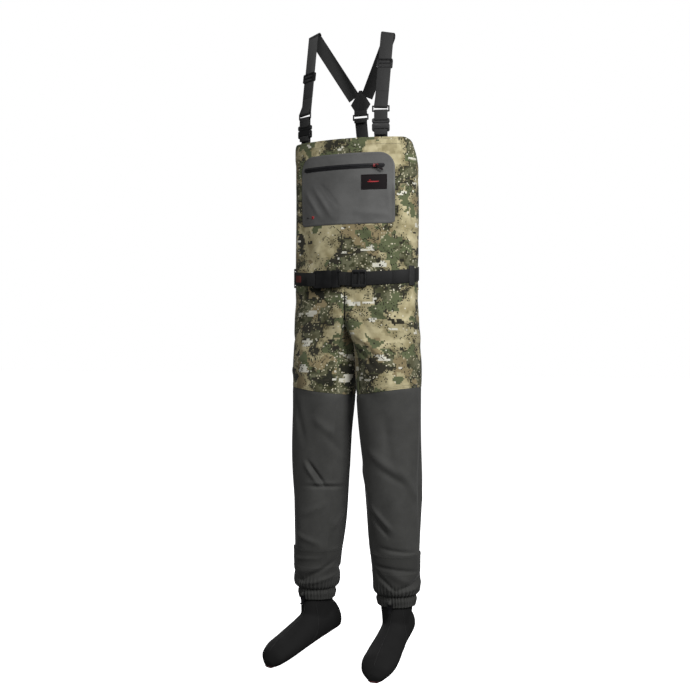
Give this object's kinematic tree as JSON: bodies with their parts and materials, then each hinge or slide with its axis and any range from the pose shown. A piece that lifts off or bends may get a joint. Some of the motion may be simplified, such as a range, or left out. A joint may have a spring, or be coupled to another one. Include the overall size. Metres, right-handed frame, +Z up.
{
  "type": "chest waders",
  "caption": "Stocking-foot chest waders hanging by their suspenders, with a waist belt, zipped chest pocket, gravel guards and neoprene socks.",
  "frame": {"origin": "middle between the two strap tops, where the garment hangs", "axes": "+Z up, -Y the front, +X the wearer's left"},
  "size_m": [0.4273, 0.2967, 1.8576],
  "materials": {
    "camo_fabric": "woven three-layer cloth with a printed broken pattern",
    "lining": "smooth knit backing and heat tape",
    "grey_fabric": "woven five-layer cloth",
    "neoprene": "knit-faced neoprene",
    "sole_rubber": "printed grip face",
    "pocket_fabric": "smooth welded cloth",
    "zip_tape": "coated water-resistant coil",
    "zip_metal": "painted slider",
    "pull_cord": "moulded pull",
    "label_rubber": "moulded patch",
    "webbing": "woven webbing",
    "patch_fabric": "stitched reinforcing cloth",
    "buckle_plastic": "moulded acetal",
    "hook_metal": "bent wire and plate"
  },
  "bodies": {
    "root": {"back_ring": "buckle_plastic", "back_webbing": "webbing", "belt_buckle_socket": "buckle_plastic", "belt_loops": "webbing", "belt_main": "webbing", "belt_slack": "webbing", "bib_shell": "camo_fabric", "bib_tab_left": "webbing", "bib_tab_right": "webbing", "centre_seam_tape": "lining", "chest_pocket_panel": "pocket_fabric", "crossing_patch": "patch_fabric", "knee_left": "grey_fabric", "knee_right": "grey_fabric", "label_patch": "label_rubber", "pocket_zip": "zip_tape", "rim_facing": "lining", "seat_left": "camo_fabric", "seat_right": "camo_fabric", "strap_fold_left": "webbing", "strap_fold_right": "webbing", "strap_lower_left": "webbing", "strap_lower_right": "webbing", "strap_socket_left": "buckle_plastic", "strap_socket_right": "buckle_plastic", "strap_upper_left": "webbing", "strap_upper_right": "webbing", "thigh_left": "grey_fabric", "thigh_right": "grey_fabric"},
    "zip_slider": {"zip_slider": "zip_metal"},
    "zip_pull": {"zip_pull": "pull_cord"},
    "belt_plug": {"belt_buckle_plug": "buckle_plastic", "belt_fold_left": "webbing"},
    "belt_prong_upper": {"belt_prong_upper": "buckle_plastic"},
    "belt_prong_lower": {"belt_prong_lower": "buckle_plastic"},
    "belt_slide": {"belt_slide": "buckle_plastic"},
    "strap_plug_left": {"strap_plug_left": "buckle_plastic", "strap_link_left": "webbing", "strap_ring_left": "buckle_plastic"},
    "strap_adjuster_left": {"strap_adjuster_left": "buckle_plastic"},
    "shin_left": {"shin_left": "grey_fabric", "gravel_guard_left": "grey_fabric", "sock_shaft_left": "neoprene", "sock_ankle_left": "neoprene"},
    "guard_hem_left": {"guard_hem_left": "grey_fabric"},
    "lace_hook_left": {"lace_hook_left": "hook_metal"},
    "foot_left": {"sock_foot_left": "neoprene", "sock_sole_left": "sole_rubber"},
    "strap_plug_right": {"strap_plug_right": "buckle_plastic", "strap_link_right": "webbing", "strap_ring_right": "buckle_plastic"},
    "strap_adjuster_right": {"strap_adjuster_right": "buckle_plastic"},
    "shin_right": {"shin_right": "grey_fabric", "gravel_guard_right": "grey_fabric", "sock_shaft_right": "neoprene", "sock_ankle_right": "neoprene"},
    "guard_hem_right": {"guard_hem_right": "grey_fabric"},
    "lace_hook_right": {"lace_hook_right": "hook_metal"},
    "foot_right": {"sock_foot_right": "neoprene", "sock_sole_right": "sole_rubber"}
  },
  "joints": [
    {"name": "zip_run", "type": "hinge", "parent": "root", "child": "zip_slider", "pos_m": [0, 0.28431, -0.4], "axis": [0, 0, 1], "range_deg": [-34, 0]},
    {"name": "zip_pull_swing", "type": "hinge", "parent": "zip_slider", "child": "zip_pull", "pos_m": [0.09832, -0.0947, -0.4], "axis": [-0.5552, -0.144, -0.8192], "range_deg": [0, 100]},
    {"name": "belt_release", "type": "slide", "parent": "root", "child": "belt_plug", "axis": [0.996, -0.0889, 0], "range_m": [0, 0.03], "deforming": ["belt_slack"]},
    {"name": "belt_prong_upper_squeeze", "type": "hinge", "parent": "belt_plug", "child": "belt_prong_upper", "pos_m": [-0.03462, -0.10346, -0.70215], "axis": [-0.0889, -0.996, 0], "range_deg": [0, 7], "stiffness_Nm_per_rad": 0.6},
    {"name": "belt_prong_lower_squeeze", "type": "hinge", "parent": "belt_plug", "child": "belt_prong_lower", "pos_m": [-0.03462, -0.10346, -0.73865], "axis": [0.0889, 0.996, 0], "range_deg": [0, 7], "stiffness_Nm_per_rad": 0.6},
    {"name": "belt_slide_run", "type": "hinge", "parent": "root", "child": "belt_slide", "pos_m": [0, 0.28431, -0.7205], "axis": [0, 0, 1], "range_deg": [-2, 3]},
    {"name": "strap_release_left", "type": "slide", "parent": "root", "child": "strap_plug_left", "axis": [0, 0, 1], "range_m": [0, 0.016], "deforming": ["strap_lower_left"]},
    {"name": "strap_adjust_left", "type": "slide", "parent": "root", "child": "strap_adjuster_left", "axis": [-0.0317, 0.291, 0.9562], "range_m": [-0.045, 0], "deforming": ["strap_fold_left"]},
    {"name": "knee_left", "type": "hinge", "parent": "root", "child": "shin_left", "pos_m": [0.11042, -0.006, -1.235], "axis": [1, 0, 0], "range_deg": [0, 90], "deforming": ["knee_left"]},
    {"name": "ankle_left", "type": "hinge", "parent": "shin_left", "child": "foot_left", "pos_m": [0.1275, -0.006, -1.686], "axis": [0.9994, 0.0349, 0], "range_deg": [-25, 20], "deforming": ["sock_ankle_left"]},
    {"name": "guard_lift_left", "type": "slide", "parent": "shin_left", "child": "guard_hem_left", "axis": [0, 0, 1], "range_m": [0, 0.07], "deforming": ["gravel_guard_left"]},
    {"name": "lace_hook_swing_left", "type": "hinge", "parent": "guard_hem_left", "child": "lace_hook_left", "pos_m": [0.1296, -0.06606, -1.648], "axis": [-0.9994, -0.0349, 0], "range_deg": [0, 60]},
    {"name": "strap_release_right", "type": "slide", "parent": "root", "child": "strap_plug_right", "axis": [0, 0, 1], "range_m": [0, 0.016], "deforming": ["strap_lower_right"]},
    {"name": "strap_adjust_right", "type": "slide", "parent": "root", "child": "strap_adjuster_right", "axis": [-0.0172, 0.2363, 0.9715], "range_m": [-0.045, 0], "deforming": ["strap_fold_right"]},
    {"name": "knee_right", "type": "hinge", "parent": "root", "child": "shin_right", "pos_m": [-0.11042, -0.006, -1.235], "axis": [1, 0, 0], "range_deg": [0, 90], "deforming": ["knee_right"]},
    {"name": "ankle_right", "type": "hinge", "parent": "shin_right", "child": "foot_right", "pos_m": [-0.1275, -0.006, -1.686], "axis": [0.9397, -0.342, 0], "range_deg": [-25, 20], "deforming": ["sock_ankle_right"]},
    {"name": "guard_lift_right", "type": "slide", "parent": "shin_right", "child": "guard_hem_right", "axis": [0, 0, 1], "range_m": [0, 0.07], "deforming": ["gravel_guard_right"]},
    {"name": "lace_hook_swing_right", "type": "hinge", "parent": "guard_hem_right", "child": "lace_hook_right", "pos_m": [-0.14806, -0.06248, -1.648], "axis": [-0.9397, 0.342, 0], "range_deg": [0, 60]}
  ]
}
